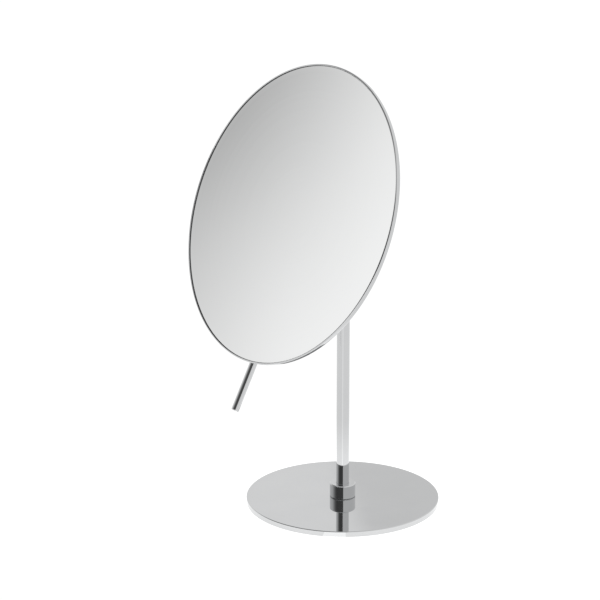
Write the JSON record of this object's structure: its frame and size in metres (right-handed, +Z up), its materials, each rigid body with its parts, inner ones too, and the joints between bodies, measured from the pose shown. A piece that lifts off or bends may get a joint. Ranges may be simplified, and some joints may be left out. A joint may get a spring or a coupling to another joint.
{
  "type": "pedestal shaving mirror",
  "caption": "Round dished mirror in a thin rim, tilting and swivelling on a telescopic column with a flat round base and a slim rod handle below the rim.",
  "frame": {"origin": "centre of the anti-slip pad's underside, on the column's axis, where the mirror stands on the table", "axes": "+Z up along the column; the mirror faces -Y, tilted up, with its handle pointing down; +X is to the right of someone who looks into the mirror"},
  "size_m": [0.23, 0.1805, 0.3488],
  "materials": {
    "polished_chrome": "mirror-polished chrome plate",
    "plain_steel": "zinc-plated steel, satin",
    "plug_brass": "turned brass",
    "nylon": "natural nylon, matt",
    "brown_fibre": "vulcanised fibre, matt",
    "pad_rubber": "soft black rubber foam, matt",
    "black_rubber": "black rubber, matt",
    "foam": "grey closed-cell foam",
    "mirror_face": "silvered glass"
  },
  "bodies": {
    "base": {"base_plate": "polished_chrome", "base_pad": "pad_rubber", "base_collar": "polished_chrome", "base_screw": "plain_steel", "foot_plug": "plug_brass", "lower_tube": "polished_chrome", "collet": "nylon"},
    "lock": {"lock_ring": "polished_chrome"},
    "upper_column": {"upper_rod": "polished_chrome", "glide": "nylon", "glide_o_ring": "black_rubber", "glide_screw": "plain_steel", "thrust_washer": "nylon", "swivel_screw": "plain_steel", "wave_washer": "plain_steel"},
    "yoke": {"swivel_yoke": "polished_chrome", "swivel_bush": "nylon", "pivot_screw": "polished_chrome", "pivot_nut": "polished_chrome", "spring_washer": "plain_steel", "friction_washers": "brown_fibre"},
    "mirror_head": {"pivot_arm": "polished_chrome", "arm_set_screw": "plain_steel", "mirror_hub": "polished_chrome", "hub_screws": "plain_steel", "handle_rod": "polished_chrome", "handle_ferrule": "polished_chrome", "back_shell": "polished_chrome", "backing_plate": "plain_steel", "foam_ring": "foam", "mirror_glass": "mirror_face", "glass_gasket": "black_rubber", "front_bezel": "polished_chrome"}
  },
  "joints": [
    {"name": "lock_ring_turn", "type": "hinge", "parent": "base", "child": "lock", "pos_m": [0, 0, 0.1857], "axis": [0, 0, 1], "range_deg": [0, 90]},
    {"name": "column_extension", "type": "slide", "parent": "base", "child": "upper_column", "axis": [0, 0, 1], "range_m": [0, 0.1]},
    {"name": "head_swivel", "type": "hinge", "parent": "upper_column", "child": "yoke", "pos_m": [0, 0, 0.2], "axis": [0, 0, 1], "continuous": true},
    {"name": "head_tilt", "type": "hinge", "parent": "yoke", "child": "mirror_head", "pos_m": [0, 0, 0.221], "axis": [-1, 0, 0], "range_deg": [-33, 67]}
  ]
}
